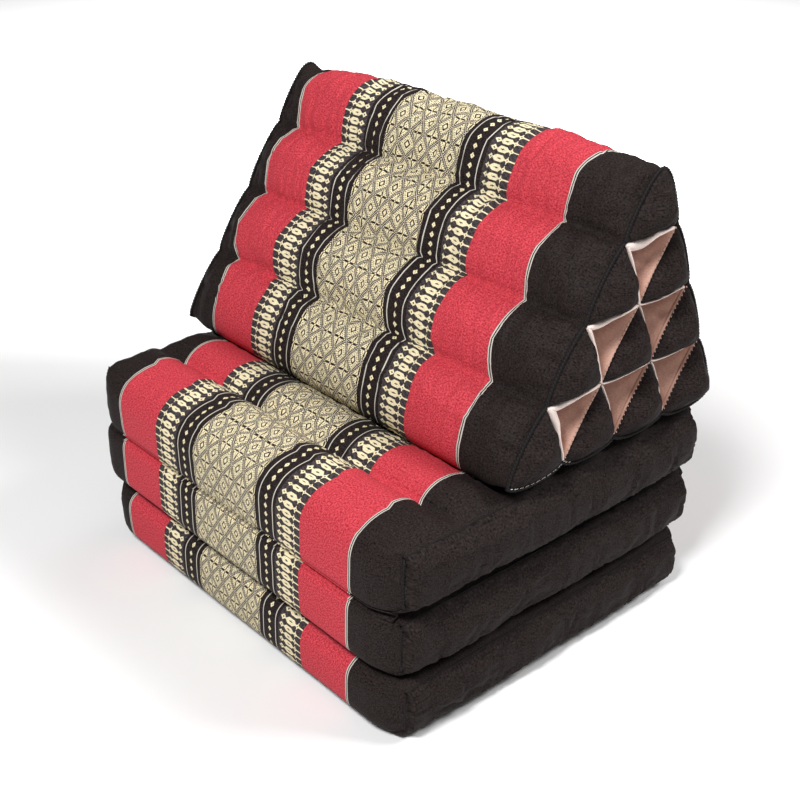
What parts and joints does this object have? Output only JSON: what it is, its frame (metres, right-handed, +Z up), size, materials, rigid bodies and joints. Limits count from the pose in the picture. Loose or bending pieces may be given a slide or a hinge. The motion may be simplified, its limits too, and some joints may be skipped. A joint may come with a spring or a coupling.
{
  "type": "thai triangle cushion",
  "caption": "Filled triangle backrest with tubed sides and lattice ends, standing on a stack of folded channelled mats, in woven banded cotton.",
  "frame": {"origin": "on the floor, under the middle of the bounding box", "axes": "+X along the tubes to the sitter's left as they lean back, +Y from the front of the mats towards the triangle, +Z up"},
  "size_m": [0.585, 0.4794, 0.53],
  "materials": {
    "patterned_cloth": "woven banded cotton cover, matte",
    "pink_lining": "plain dusty pink cotton lining, matte"
  },
  "bodies": {
    "root": {"mat_bottom": "patterned_cloth", "mat_middle": "patterned_cloth", "mat_top": "patterned_cloth", "wedge": "patterned_cloth", "lining_left_1": "pink_lining", "lining_left_2": "pink_lining", "lining_left_3": "pink_lining", "lining_left_4": "pink_lining", "lining_left_5": "pink_lining", "lining_left_6": "pink_lining", "lining_right_1": "pink_lining", "lining_right_2": "pink_lining", "lining_right_3": "pink_lining", "lining_right_4": "pink_lining", "lining_right_5": "pink_lining", "lining_right_6": "pink_lining", "fold_front": "patterned_cloth", "fold_back": "patterned_cloth", "fold_wedge": "patterned_cloth"}
  },
  "joints": []
}
